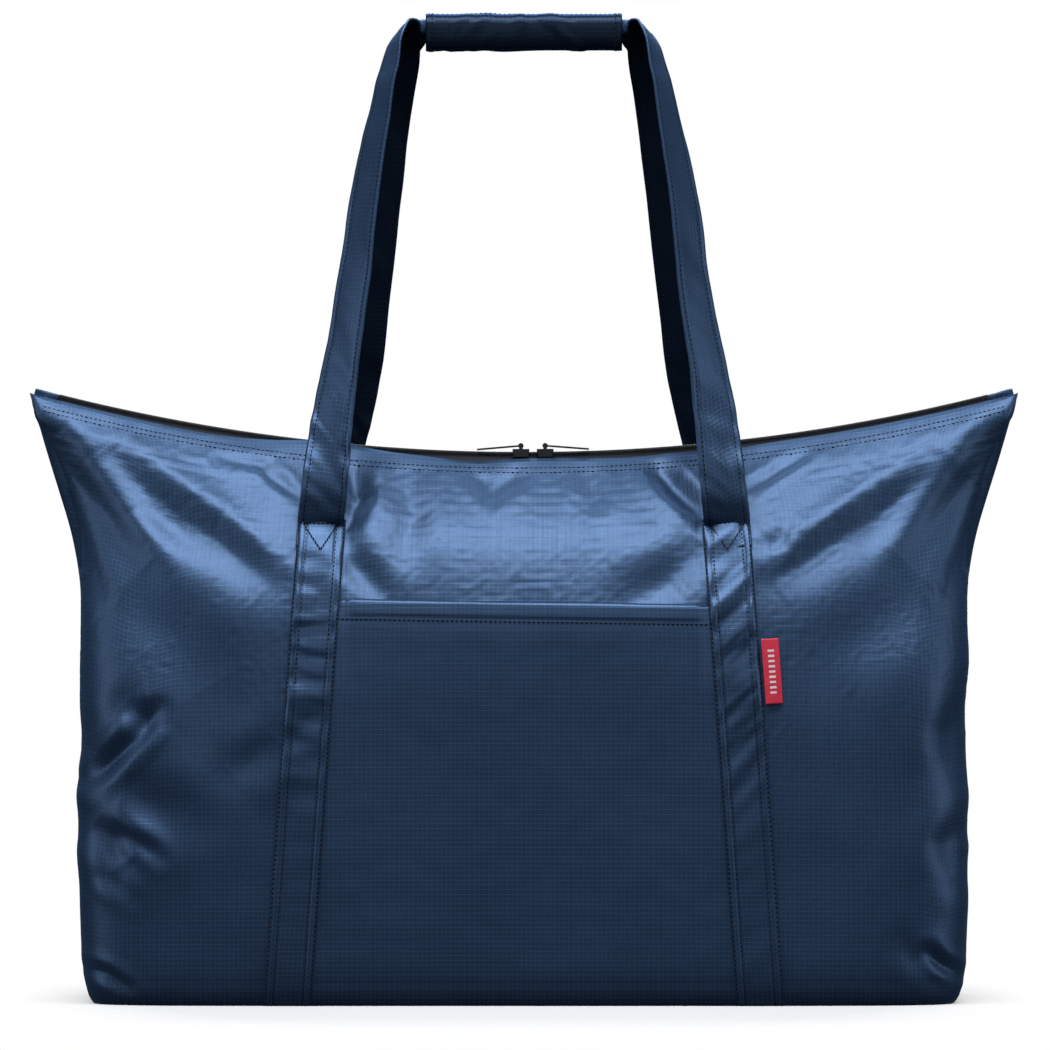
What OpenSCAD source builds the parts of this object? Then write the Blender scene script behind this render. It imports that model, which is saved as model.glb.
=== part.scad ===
// Foldable travel tote. A soft boxed shell stands on its base and closes with one
// long curved zip that runs from wing tip to wing tip. Four sewn bands carry two
// looped handles, which a grip wrap holds together. A patch pocket sits in front,
// and the stow pouch that the empty bag folds into hangs inside the back panel.

/* [Bag body] */
// Width across the two ends of the top zip
zip_w = 650; // [620:5:680]
// Width of the body at half height
side_w = 580; // [560:2:590]
// Width of the base
base_w = 564; // [540:2:576]
// Depth of the body just above the base
base_d = 204; // [190:2:220]
// Height of the zip at the middle
zip_low = 357; // [350:1:364]
// How much higher the zip ends are than its middle
zip_rise = 43; // [38:1:48]
// Thickness of a cloth wall, stiffened for handling
cloth_t = 1.5; // [1.2:0.1:1.8]

/* [Bands and pocket] */
// Width of a sewn band
band_w = 31; // [28:1:34]
// Distance of a band's foot from the middle
band_foot = 153; // [148:1:158]
// Distance of a band's head from the middle
band_head = 131; // [128:1:134]
// Height of the bands' heads
band_top = 318; // [312:1:320]
// Height of the pocket's hem at the middle
pocket_top = 260; // [250:1:264]
// How far the pocket's mouth stands off the panel
pocket_gap = 10; // [9:0.5:10.5]

/* [Handles] */
// Width of a handle strap
strap_w = 30; // [28:1:32]
// Thickness of a handle strap
strap_t = 1.6; // [1.4:0.1:1.8]
// Height of the grip's centre
grip_z = 635; // [630:1:640]
// Length of the grip wrap
grip_len = 129; // [126:1:130]
// Outer radius of the closed grip wrap
grip_r = 13; // [13:0.1:13.5]

/* [Zip] */
// Width of the closed coil chain
chain_w = 5.2; // [5:0.1:5.3]
// Height of the closed coil chain
chain_h = 2.4; // [2.2:0.1:2.5]
// Length of a slider
slider_len = 11; // [10:0.5:12]
// Length of a slider's pull
pull_len = 29; // [26:1:30]
// Place of the left slider along the zip
left_slider_x = -2; // [-3:0.5:-1]
// Place of the right slider along the zip
right_slider_x = 14; // [13:0.5:16]
// Length of the cloth tab on each zip end
tab_len = 20; // [18:1:22]

/* [Stow pouch] */
// Width of the pouch
pouch_w = 160; // [140:5:170]
// Height of the pouch
pouch_h = 110; // [90:5:115]
// Height of the pouch's zip above the base
pouch_zip_z = 262; // [258:1:264]

/* [Side label] */
// Width of the folded woven label
label_w = 11.4; // [10:0.2:12]
// Height of the folded woven label
label_h = 42.5; // [38:0.5:44]

/* [Hidden] */

navy = "#2b4266";
deep_navy = "#1c2a44";
ink = "#0f141d";
silver_ink = "#22262e";
label_red = "#c8193a";

$fn = 48;
zip_fn = 720;
skin_cols = 32;
zip_r = (zip_w * zip_w / 4 + zip_rise * zip_rise) / (2 * zip_rise);
zip_c = zip_low + zip_r;
edge_drop = 2;          // the panels' top edges lie this far under the zip line
seam_gap = 0.3;         // half the joint between the front and back panels
chain_clear = 0.3;      // room between a slider and the chain
chain_end = zip_w / 2 - tab_len;
bar_h = 6.3;            // height of a slider's crossbar over the zip line
bar_r = 0.8;
pull_droop = 5;         // how far a resting pull leans down
pouch_y = 60;
label_lean = -4.7;
label_tilt = -4;
label_droop = 14;       // how far the label leans from the band's face back to the panel

// Outline of the body: share of height, half width, half depth, squareness of the plan
rows = [
    [0.00, base_w / 2, base_d / 2 - 4, 7.0],
    [0.05, base_w / 2 + 5, base_d / 2, 7.0],
    [0.15, side_w / 2, base_d / 2 - 1, 6.6],
    [0.30, side_w / 2 + 1, base_d / 2 - 3, 6.0],
    [0.45, side_w / 2, base_d / 2 - 6, 5.2],
    [0.58, side_w / 2, base_d / 2 - 9, 4.4],
    [0.70, side_w / 2 + 1, base_d / 2 - 14, 3.4],
    [0.78, side_w / 2 + 7, base_d / 2 - 25, 2.9],
    [0.85, side_w / 2 + 16, base_d / 2 - 38, 2.6],
    [0.91, side_w / 2 + 24, base_d / 2 - 58, 2.6],
    [0.96, side_w / 2 + 30, base_d / 2 - 80, 3.4],
    [1.00, zip_w / 2, 6, 9.0]];
function half_w(t) = lookup(t, [for (r = rows) [r[0], r[1]]]);
function half_d(t) = lookup(t, [for (r = rows) [r[0], r[2]]]);
function square_of(t) = lookup(t, [for (r = rows) [r[0], r[3]]]);

function zip_z(x) = zip_c - sqrt(zip_r * zip_r - x * x);
function top_z(x) = zip_z(x) - edge_drop;
function unit(v) = v / norm(v);

// Point on the front skin at height share t and turn f from 180 (left) to 0 (right)
function skin_point(t, f, inset) =
    let (n = square_of(t),
        x = (half_w(t) - inset) * sign(cos(f)) * pow(abs(cos(f)), 2 / n),
        y = (half_d(t) - inset - seam_gap) * pow(abs(sin(f)), 2 / n))
    [x, -y - seam_gap, t * top_z(x)];

// Point over the front skin above x at height z, off outwards
function over_skin(x, z, off) =
    let (t = min(1, z / top_z(x)),
        n = square_of(t),
        y = half_d(t) * pow(1 - pow(abs(x) / half_w(t), n), 1 / n))
    [x, -y - off, z];

// Solid between two grids of points, both seen left to right and foot to head from outside
module slab(outer, inner) {
    r_end = len(outer) - 1;
    c_end = len(outer[0]) - 1;
    cols = c_end + 1;
    back = cols * (r_end + 1);
    function at(r, c) = r * cols + c;
    function quad(a, b, c, d) = [[a, b, c], [a, c, d]];
    skins = [for (r = [0:r_end - 1], c = [0:c_end - 1]) let (a = at(r, c), d = at(r + 1, c))
        each concat(quad(a, d, d + 1, a + 1), quad(back + a, back + a + 1, back + d + 1, back + d))];
    ends = [for (c = [0:c_end - 1]) let (a = at(0, c), d = at(r_end, c))
        each concat(quad(a, a + 1, back + a + 1, back + a), quad(d, back + d, back + d + 1, d + 1))];
    sides = [for (r = [0:r_end - 1])
        let (a = at(r, 0), d = at(r + 1, 0), e = at(r, c_end), h = at(r + 1, c_end))
        each concat(quad(a, back + a, back + d, d), quad(e, h, back + h, back + e))];
    fold = concat([for (r = outer) each r], [for (r = inner) each r]);
    polyhedron(points = fold, faces = concat(skins, ends, sides), convexity = 6);
}

// Front half of the body, side seam to side seam
module body_panel() {
    turns = [for (c = [0:skin_cols]) 180 - 180 * c / skin_cols];
    slab([for (r = rows) [for (f = turns) skin_point(r[0], f, 0)]],
        [for (r = rows) [for (f = turns) skin_point(r[0], f, cloth_t)]]);
}

module front_panel() { color(navy) body_panel(); }
module back_panel() { color(navy) mirror([0, 1, 0]) body_panel(); }

module base_panel() {
    rim = cloth_t + 0.2;
    front = [for (c = [0:skin_cols]) skin_point(0, 180 - 180 * c / skin_cols, rim)];
    outline = concat([for (p = front) [p[0], p[1]]],
        [for (c = [skin_cols:-1:0]) [front[c][0], -front[c][1]]]);
    color(deep_navy) linear_extrude(cloth_t) polygon(outline);
}

// Heights from low to high that meet the skin's own rows, with one more between each two
function row_heights(low, high) =
    let (rims = concat([low], [for (r = rows) let (z = r[0] * top_z(band_head)) if (z > low && z < high - 4) z],
        [high]))
    concat([for (i = [1:len(rims) - 1]) each [rims[i - 1], (rims[i - 1] + rims[i]) / 2]], [high]);

// A strip laid over the front skin between heights low and high
module strip(low, high, off, thick) {
    function mid(z) = -band_foot + (band_foot - band_head) * z / band_top;
    zs = row_heights(low, high);
    xs = [-0.5, -0.17, 0.17, 0.5];
    slab([for (z = zs) [for (s = xs) over_skin(mid(z) + s * band_w, z, off + thick)]],
        [for (z = zs) [for (s = xs) over_skin(mid(z) + s * band_w, z, off)]]);
}

band_off = 2.4;
band_t = 1.4;
module band() { strip(0.5, band_top, band_off, band_t); }
module front_left_band() { color(navy) band(); }
module front_right_band() { color(navy) mirror([1, 0, 0]) band(); }
module back_left_band() { color(navy) mirror([0, 1, 0]) band(); }
module back_right_band() { color(navy) mirror([1, 0, 0]) mirror([0, 1, 0]) band(); }

// Patch pocket: flat under the bands and at its foot, standing off towards its mouth
module front_pocket() {
    pocket_t = 1.2;
    edge_off = 0.7;
    span_cols = 20;
    function half(z) = band_foot - (band_foot - band_head) * z / band_top - 4;
    function swell(s, z) = (pocket_gap - edge_off) * (1 - pow(abs(s), 6)) * pow(sin(90 * z / pocket_top), 4);
    function lift(s, z) = edge_off + (abs(s) > 0.9 ? 0 : swell(s / 0.9, z));
    zs = row_heights(1, pocket_top);
    ss = [for (i = [0:span_cols]) -1 + 2 * i / span_cols];
    color(navy) slab(
        [for (z = zs) [for (s = ss) over_skin(s * half(z), z, lift(s, z) + pocket_t)]],
        [for (z = zs) [for (s = ss) over_skin(s * half(z), z, lift(s, z))]]);
}

// Bound seam allowance standing inward from a side seam
module side_binding() {
    fold_w = 8;
    half_t = 1;
    low = 0.04;
    high = 0.86;
    steps = 14;
    ts = [for (i = [0:steps]) low + (high - low) * i / steps];
    function edge(t, deep, y) =
        let (x = half_w(t) - cloth_t - 1 - deep) [-x, y, t * top_z(half_w(t))];
    slab([for (t = ts) [edge(t, 0, -half_t), edge(t, fold_w, -half_t)]],
        [for (t = ts) [edge(t, 0, half_t), edge(t, fold_w, half_t)]]);
}
module left_side_binding() { color(ink) side_binding(); }
module right_side_binding() { color(ink) mirror([1, 0, 0]) side_binding(); }

module base_binding() {
    fold_h = 8;
    bind_w = base_w - 120;
    translate([-bind_w / 2, -base_d / 2 + 10, cloth_t + 0.3]) cube([bind_w, 2, fold_h]);
}
module front_base_binding() { color(ink) base_binding(); }
module back_base_binding() { color(ink) mirror([0, 1, 0]) base_binding(); }

// Sweeps a profile of [height over the zip line, distance in front of it] along the zip
module along_zip(profile, from_x, to_x) {
    start = asin(from_x / zip_r);
    turn = asin(to_x / zip_r) - start;
    translate([0, 0, zip_c]) rotate([90, 0, 0]) rotate([0, 0, start - 90])
        rotate_extrude(angle = turn, $fn = zip_fn)
            polygon([for (p = profile) [zip_r - p[0], p[1]]]);
}

tape_profile = [[-0.1, 0.8], [-0.1, 1.4], [-11, 4.2], [-11, 3.6]];
coil_profile = [[0, 0.02], [chain_h, 0.02], [chain_h, chain_w / 2 - 0.7],
    [chain_h - 0.7, chain_w / 2], [0.6, chain_w / 2], [0, chain_w / 2 - 0.6]];

module front_zip_tape() { color(ink) along_zip(tape_profile, -chain_end, chain_end); }
module back_zip_tape() { color(ink) mirror([0, 1, 0]) along_zip(tape_profile, -chain_end, chain_end); }
module front_zip_coil() { color(ink) along_zip(coil_profile, -chain_end, chain_end); }
module back_zip_coil() { color(ink) mirror([0, 1, 0]) along_zip(coil_profile, -chain_end, chain_end); }

// Cloth tab folded over the chain's end
module zip_tab() {
    tab_profile = [[-7, -2.8], [1.6, -2.8], [2.2, -2.2], [2.2, 2.2], [1.6, 2.8], [-7, 2.8]];
    along_zip(tab_profile, chain_end + 0.3, zip_w / 2 - 6);
}
module left_zip_tab() { color(navy) mirror([1, 0, 0]) zip_tab(); }
module right_zip_tab() { color(navy) zip_tab(); }

// Moves a piece made at the middle of the zip along the arc to x
module on_zip(x) {
    translate([0, 0, zip_c]) rotate([0, -asin(x / zip_r), 0]) translate([0, 0, -zip_r]) children();
}

// Slider: a plate that wraps the chain, with a two-post bridge and its crossbar
module slider_shape() {
    slider_w = 8.4;
    plate_top = 4.2;
    lip = 0.7;
    post_l = 2.4;
    post_y = 2.1;
    difference() {
        intersection() {
            translate([-slider_len / 2, -slider_w / 2, -lip - chain_clear])
                cube([slider_len, slider_w, plate_top + lip + chain_clear]);
            translate([0, 0, -2]) cylinder(h = 8, r = slider_len / 2 + 0.7);
        }
        translate([-slider_len, -chain_w / 2 - chain_clear, -chain_clear])
            cube([2 * slider_len, chain_w + 2 * chain_clear, chain_h + 2 * chain_clear]);
        translate([-slider_len, -1.95, -3]) cube([2 * slider_len, 3.9, 3]);
    }
    for (s = [-1, 1])
        translate([-post_l / 2, s * (post_y + 0.5) - 0.5, plate_top - 0.1])
            cube([post_l, 1, bar_h + bar_r - plate_top + 0.3]);
    translate([0, post_y + 0.1, bar_h]) rotate([90, 0, 0]) cylinder(h = 2 * post_y + 0.2, r = bar_r);
}
module left_slider() { color(silver_ink) on_zip(left_slider_x) slider_shape(); }
module right_slider() { color(silver_ink) on_zip(right_slider_x) slider_shape(); }

// Pull: an eye round the crossbar, a neck and a slim open frame that lies towards -X
module pull_shape() {
    eye_r = 1.8;
    eye_w = 3.6;
    bore_clear = 0.12;
    frame_w = 5.5;
    frame_t = 1.2;
    rail = 1.3;
    neck_len = 5;
    translate([0, 0, bar_h]) rotate([0, -pull_droop, 0]) difference() {
        union() {
            translate([0, eye_w / 2, 0]) rotate([90, 0, 0]) cylinder(h = eye_w, r = eye_r);
            translate([-neck_len, -eye_w / 2, -frame_t / 2]) cube([neck_len, eye_w, frame_t]);
            translate([-pull_len + frame_w / 2, -frame_w / 2, -frame_t / 2])
                cube([pull_len - neck_len - frame_w / 2 + 0.5, frame_w, frame_t]);
            translate([-pull_len + frame_w / 2, 0, -frame_t / 2]) cylinder(h = frame_t, r = frame_w / 2);
        }
        translate([0, eye_w, 0]) rotate([90, 0, 0]) cylinder(h = 2 * eye_w, r = bar_r + bore_clear);
        translate([-pull_len + frame_w, -frame_w / 2 + rail, -frame_t])
            cube([pull_len - neck_len - frame_w - 3, frame_w - 2 * rail, 2 * frame_t]);
    }
}
module left_pull() { color(silver_ink) on_zip(left_slider_x) pull_shape(); }
module right_pull() { color(silver_ink) on_zip(right_slider_x) mirror([1, 0, 0]) pull_shape(); }

// Stow pouch: a flat bag whose taller back wall is sewn to the back panel
module stow_pouch() {
    wall = 1.2;
    deep = 11.6;
    header = 30;
    foot_z = pouch_zip_z - edge_drop - pouch_h;
    color(deep_navy) translate([-pouch_w / 2, pouch_y - deep / 2, foot_z]) {
        difference() {
            cube([pouch_w, deep, pouch_h]);
            translate([wall, wall, wall]) cube([pouch_w - 2 * wall, deep - 2 * wall, pouch_h]);
        }
        translate([0, deep - wall, pouch_h - 1]) cube([pouch_w, wall, header + 1]);
    }
}

stow_half = pouch_w / 2 - 3;
// Extrudes a zip profile straight along the pouch's mouth
module along_pouch(profile) {
    translate([-stow_half, pouch_y, pouch_zip_z]) rotate([90, 0, 90]) linear_extrude(2 * stow_half)
        polygon([for (p = profile) [-p[1], p[0]]]);
}
module stow_zip_tape() {
    color(ink) for (s = [-1, 1]) along_pouch([for (p = tape_profile) [p[0], s * min(p[1], 2.6)]]);
}
module stow_zip_coil() {
    color(ink) for (s = [-1, 1]) along_pouch([for (p = coil_profile) [p[0], s * p[1]]]);
}
stow_rest_x = stow_half - slider_len / 2 - 1;
module stow_slider() { color(silver_ink) translate([stow_rest_x, pouch_y, pouch_zip_z]) slider_shape(); }
module stow_pull() { color(silver_ink) translate([stow_rest_x, pouch_y, pouch_zip_z]) pull_shape(); }

// Folded woven label, sewn along its left edge beside the right band
label_foot = [156.2, -97, 195];
module side_label() {
    label_t = 0.8;
    color(label_red) translate(label_foot) rotate([label_lean, label_tilt, 0])
        rotate([0, 0, label_droop]) translate([0.4, -label_t / 2, 0]) cube([label_w, label_t, label_h]);
}

// Ribbon through stations of [centre, width direction, width]
module ribbon(stations) {
    last = len(stations) - 1;
    function run(i) = unit(stations[min(i + 1, last)][0] - stations[max(i - 1, 0)][0]);
    function wide(i) = let (w = stations[i][1], t = run(i)) unit(w - (w * t) * t) * stations[i][2] / 2;
    function face(i) = unit(cross(wide(i), run(i))) * strap_t / 2;
    function edge(i, side, skin) = stations[i][0] + side * wide(i) + skin * face(i);
    slab([for (i = [0:last]) [for (s = [-1, 0, 1]) edge(i, s, 1)]],
        [for (i = [0:last]) [for (s = [-1, 0, 1]) edge(i, s, -1)]]);
}

sewn_off = 5.6;
// Station where a strap lies on the band at height z
function sewn(x, z) = [over_skin(x, z, sewn_off),
    over_skin(x + 15, z, 0) - over_skin(x - 15, z, 0), strap_w];
leg_foot = [sewn(-133, 293), sewn(-132, 306)];
// The front strap turns its outer face up and over the top of the bundle
front_leg = concat(leg_foot, [
    [[-130.5, -65, 322], [1, -0.08, 0], strap_w],
    [[-127, -57, 357], [1, -0.2, 0], strap_w],
    [[-121, -47, 408], [0.80, -0.6, 0], strap_w],
    [[-112.5, -38, 460], [0.70, -0.71, 0], strap_w],
    [[-104.5, -28, 526], [0.60, -0.80, 0], strap_w],
    [[-93, -19, 591], [0.42, -0.90, 0], strap_w],
    [[-88, -15, 612], [0.36, -0.93, 0], strap_w],
    [[-84.5, -9, 630], [0.25, -0.95, 0.1], strap_w],
    [[-76, -2, 641], [0.1, -0.98, 0.1], 28],
    [[-67.2, -1.4, 643], [0, -1, 0], 26]]);
// The back strap keeps its inner face to the front and turns into the bundle on edge
back_leg = concat(leg_foot, [
    [[-130.5, -65, 322], [1, -0.05, 0], strap_w],
    [[-121, -57, 357], [1, -0.1, 0], strap_w],
    [[-110, -47, 408], [0.95, -0.3, 0], strap_w],
    [[-103, -38, 460], [0.93, -0.37, 0], strap_w],
    [[-95, -28, 526], [0.92, -0.4, 0], 28],
    [[-87, -18, 585], [0.93, -0.36, 0], 26],
    [[-82, -12, 610], [0.95, -0.2, -0.2], 23],
    [[-78, -6, 625], [0.7, 0, -0.7], 18],
    [[-73, -1.6, 631], [0.2, 0, -1], 16],
    [[-67.2, -0.8, 632], [0, 0, -1], 15]]);

module front_strap_left_leg() { color(navy) ribbon(front_leg); }
module front_strap_right_leg() { color(navy) mirror([1, 0, 0]) ribbon(front_leg); }
module back_strap_left_leg() { color(deep_navy) mirror([0, 1, 0]) ribbon(back_leg); }
module back_strap_right_leg() {
    color(deep_navy) mirror([1, 0, 0]) mirror([0, 1, 0]) ribbon(back_leg);
}

// Part of a tube round the grip's axis, from angle a to angle b as seen from +X
module grip_arc(r_in, r_out, a, b, len) {
    translate([-len / 2, 0, grip_z]) rotate([90, 0, 90]) rotate([0, 0, a])
        rotate_extrude(angle = b - a) translate([r_in, 0]) square([r_out - r_in, len]);
}

top_len = 131.6;
module front_strap_top() { color(navy) grip_arc(grip_r - 6.2, grip_r - 4.6, -25, 205, top_len); }
module back_strap_top() {
    fold_t = 3.6;
    fold_h = 12.4;
    color(deep_navy) translate([-top_len / 2, -fold_t / 2, grip_z - fold_h / 2])
        cube([top_len, fold_t, fold_h]);
}
// The wrap is sewn to the back strap and runs under the bundle, round behind and over it
module grip_wrap() { color(navy) grip_arc(grip_r - 4.3, grip_r - 3.3, -170, 84, grip_len); }
module loop_strip() { color(ink) grip_arc(grip_r - 3.2, grip_r - 2.4, -168, -110, grip_len - 8); }
// The flap comes from the top down over the front and closes on the loop strip
module wrap_flap() { color(navy) grip_arc(grip_r - 1.2, grip_r, 92, 262, grip_len); }
module hook_strip() { color(ink) grip_arc(grip_r - 2.1, grip_r - 1.3, 196, 246, grip_len - 8); }

front_panel();
back_panel();
base_panel();
front_pocket();
front_left_band();
front_right_band();
back_left_band();
back_right_band();
left_side_binding();
right_side_binding();
front_base_binding();
back_base_binding();
front_zip_tape();
back_zip_tape();
front_zip_coil();
back_zip_coil();
left_zip_tab();
right_zip_tab();
left_slider();
right_slider();
left_pull();
right_pull();
stow_pouch();
stow_zip_tape();
stow_zip_coil();
stow_slider();
stow_pull();
side_label();
front_strap_left_leg();
front_strap_right_leg();
back_strap_left_leg();
back_strap_right_leg();
front_strap_top();
back_strap_top();
grip_wrap();
loop_strip();
wrap_flap();
hook_strip();
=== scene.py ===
import math

import bmesh
import bpy
import numpy as np
from mathutils import Matrix, Vector, noise
from mathutils.bvhtree import BVHTree


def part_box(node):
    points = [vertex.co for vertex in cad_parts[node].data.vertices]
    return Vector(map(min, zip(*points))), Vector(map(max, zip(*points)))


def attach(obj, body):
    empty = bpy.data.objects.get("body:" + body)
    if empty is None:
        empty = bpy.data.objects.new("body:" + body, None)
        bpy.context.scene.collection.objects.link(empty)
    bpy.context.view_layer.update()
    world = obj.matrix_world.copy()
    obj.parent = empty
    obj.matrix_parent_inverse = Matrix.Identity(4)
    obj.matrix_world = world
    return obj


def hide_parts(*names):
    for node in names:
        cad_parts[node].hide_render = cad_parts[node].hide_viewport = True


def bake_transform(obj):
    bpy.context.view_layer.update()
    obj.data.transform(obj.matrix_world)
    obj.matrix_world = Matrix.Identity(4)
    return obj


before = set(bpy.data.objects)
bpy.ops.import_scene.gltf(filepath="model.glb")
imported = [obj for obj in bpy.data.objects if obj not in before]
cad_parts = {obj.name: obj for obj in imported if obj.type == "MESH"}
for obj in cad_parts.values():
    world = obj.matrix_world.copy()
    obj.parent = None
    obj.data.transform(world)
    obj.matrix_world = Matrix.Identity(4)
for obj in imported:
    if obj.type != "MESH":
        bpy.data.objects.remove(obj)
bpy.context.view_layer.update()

# --- Studio: floor, light and camera ---
# The bag stands on a pale sweep that fades into white. Wide softboxes hang over, behind and
# before it, with a dim strip at each side, and the camera looks at it level from the front.
view_distance = 6.0
view_width = 0.6907
view_height = 0.3112


def placed(name, data):
    """A new object in the scene that holds the mesh, light or camera."""
    thing = bpy.data.objects.new(name, data)
    bpy.context.scene.collection.objects.link(thing)
    return thing


camera_data = bpy.data.cameras.new("camera")
camera_data.sensor_width = 36.0
camera_data.lens = 36.0 * view_distance / view_width
camera_data.clip_end = 60.0
camera = placed("camera", camera_data)
camera.location = (0.0007, -view_distance, view_height)
camera.rotation_euler = (math.radians(90), 0, 0)
bpy.context.scene.camera = camera


def softbox(name, place, target, size, power):
    light = bpy.data.lights.new(name, "AREA")
    light.shape = "RECTANGLE"
    light.size, light.size_y = size
    light.energy = power
    lamp = placed(name, light)
    lamp.location = place
    lamp.rotation_euler = (Vector(target) - Vector(place)).to_track_quat("-Z", "Y").to_euler()


softbox("softbox_top", (0, -0.55, 1.9), (0, 0.0, 0.25), (1.9, 0.9), 52)
softbox("softbox_back", (0, 1.3, 1.7), (0, 0, 0.3), (2.2, 0.9), 24)
softbox("softbox_front", (0, -3.2, 1.5), (0, 0, 0.2), (1.6, 1.0), 7)
softbox("strip_left", (-1.9, -0.6, 0.7), (0, 0, 0.2), (0.8, 1.3), 6)
softbox("strip_right", (1.9, -0.6, 0.7), (0, 0, 0.2), (0.8, 1.3), 6)

world = bpy.data.worlds.new("studio")
bpy.context.scene.world = world
world.use_nodes = True
room = world.node_tree
room.nodes.clear()
room_out = room.nodes.new("ShaderNodeOutputWorld")
seen = room.nodes.new("ShaderNodeBackground")
lit = room.nodes.new("ShaderNodeBackground")
either = room.nodes.new("ShaderNodeMixShader")
path = room.nodes.new("ShaderNodeLightPath")
seen.inputs["Color"].default_value = (1, 1, 1, 1)
lit.inputs["Color"].default_value = (0.80, 0.88, 1.0, 1)
lit.inputs["Strength"].default_value = 0.13
room.links.new(path.outputs["Is Camera Ray"], either.inputs[0])
room.links.new(lit.outputs[0], either.inputs[1])
room.links.new(seen.outputs[0], either.inputs[2])
room.links.new(either.outputs[0], room_out.inputs[0])
bpy.context.scene.view_settings.view_transform = "Standard"

floor_bm = bmesh.new()
bmesh.ops.create_circle(floor_bm, cap_ends=True, segments=64, radius=3.0)
floor_mesh = bpy.data.meshes.new("floor")
floor_bm.to_mesh(floor_mesh)
floor_bm.free()
floor = placed("floor", floor_mesh)
sweep = bpy.data.materials.new("pale_sweep")
sweep.use_nodes = True
nodes, links = sweep.node_tree.nodes, sweep.node_tree.links
nodes["Principled BSDF"].inputs["Base Color"].default_value = (0.70, 0.70, 0.71, 1)
nodes["Principled BSDF"].inputs["Roughness"].default_value = 0.7
spot = nodes.new("ShaderNodeTexCoord")
shrink = nodes.new("ShaderNodeVectorMath")
shrink.operation = "MULTIPLY"
shrink.inputs[1].default_value = (1.0, 0.62, 1.0)
reach = nodes.new("ShaderNodeVectorMath")
reach.operation = "LENGTH"
fade = nodes.new("ShaderNodeMapRange")
fade.inputs["From Min"].default_value = 0.24
fade.inputs["From Max"].default_value = 0.335
clear = nodes.new("ShaderNodeBsdfTransparent")
cover = nodes.new("ShaderNodeMixShader")
links.new(spot.outputs["Object"], shrink.inputs[0])
links.new(shrink.outputs[0], reach.inputs[0])
links.new(reach.outputs["Value"], fade.inputs["Value"])
links.new(fade.outputs["Result"], cover.inputs[0])
links.new(nodes["Principled BSDF"].outputs[0], cover.inputs[1])
links.new(clear.outputs[0], cover.inputs[2])
links.new(cover.outputs[0], nodes["Material Output"].inputs[0])
floor_mesh.materials.append(sweep)
floor.visible_diffuse = False
floor.visible_glossy = False


# --- Front and back panels ---
# The shell is two panels of coated ripstop polyester, cut wider at the top and sewn
# together down both sides. Each wraps from side seam to side seam, is pulled into long
# slanting folds by the weight that hangs from its top corners, and slackens lower down.
mm = 0.001


def box_of(node):
    """The lowest and highest corner of a node's box."""
    return [Vector(corner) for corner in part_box(node)]


shell_high = box_of("front_panel")[1]
coil_low, coil_high = box_of("front_zip_coil")
wing = shell_high.x
edge_drop = 2 * mm
rise = shell_high.z + edge_drop - coil_low.z
zip_radius = (wing * wing + rise * rise) / (2 * rise)
zip_centre = coil_low.z + zip_radius
# height share, half width and half depth in millimetres, squareness of the plan
shell_rows = np.array([
    (0.00, 281, 97.5, 7.5), (0.015, 285, 100.5, 7.5), (0.05, 288, 102, 7.0), (0.15, 290, 101, 6.6),
    (0.30, 291, 99, 6.0), (0.45, 290, 96, 5.2), (0.58, 290, 93, 4.4), (0.70, 291.5, 88, 3.4),
    (0.78, 297, 77, 2.9), (0.85, 306, 64, 2.6), (0.91, 314, 44, 2.6), (0.96, 320, 22, 3.4),
    (1.00, 325, 6, 9.0)])


def zip_height(x):
    return zip_centre - np.sqrt(zip_radius ** 2 - np.asarray(x) ** 2)


def shell_size(t):
    """Half width, half depth and squareness at height share t, smoothed between the rows."""
    t = np.asarray(t, float)
    reach = np.minimum(0.035, np.minimum(t, 1 - t) * 0.9)
    found = []
    for column, unit in ((1, mm), (2, mm), (3, 1)):
        values = [np.interp(t + k * reach, shell_rows[:, 0], shell_rows[:, column] * unit) * w
                  for k, w in ((-1, 1), (-0.5, 2), (0, 2), (0.5, 2), (1, 1))]
        found.append(sum(values) / 8)
    return found


def skin_y(x, z):
    """How far forward the smooth front skin stands above x at height z."""
    x = np.asarray(x, float)
    share = np.clip(np.asarray(z, float) / (zip_height(x) - edge_drop), 0, 1)
    a, b, n = shell_size(share)
    return -b * np.clip(1 - (np.abs(x) / a) ** n, 0, 1) ** (1 / n)


def along(points, wanted):
    """Points at equal steps along a row of dense points."""
    steps = np.r_[0, np.cumsum(np.linalg.norm(np.diff(points[:, :3], axis=0), axis=1))]
    at = np.linspace(0, steps[-1], wanted)
    return np.stack([np.interp(at, steps, points[:, k]) for k in range(points.shape[1])], axis=1)


def lofted_skin(columns, rows):
    """The smooth front half of the shell, as rows of points from foot to head."""
    turn = np.radians(np.linspace(180, 0, 721))
    skin = np.zeros((rows + 1, columns + 1, 3))
    for i, t in enumerate(np.linspace(0, 1, rows + 1)):
        a, b, n = shell_size(t)
        x = a * np.sign(np.cos(turn)) * np.abs(np.cos(turn)) ** (2 / n)
        y = -b * np.abs(np.sin(turn)) ** (2 / n)
        flat = along(np.stack([x, y], axis=1), columns + 1)
        skin[i, :, 0] = flat[:, 0]
        skin[i, :, 1] = flat[:, 1]
        skin[i, :, 2] = t * (zip_height(flat[:, 0]) - edge_drop)
    return skin


def outward(sheet):
    """Unit normals of a grid of points, facing the side where columns run left to right."""
    across = np.gradient(sheet, axis=1)
    up = np.gradient(sheet, axis=0)
    face = np.cross(across, up)
    return face / np.maximum(np.linalg.norm(face, axis=2, keepdims=True), 1e-12)


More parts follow.
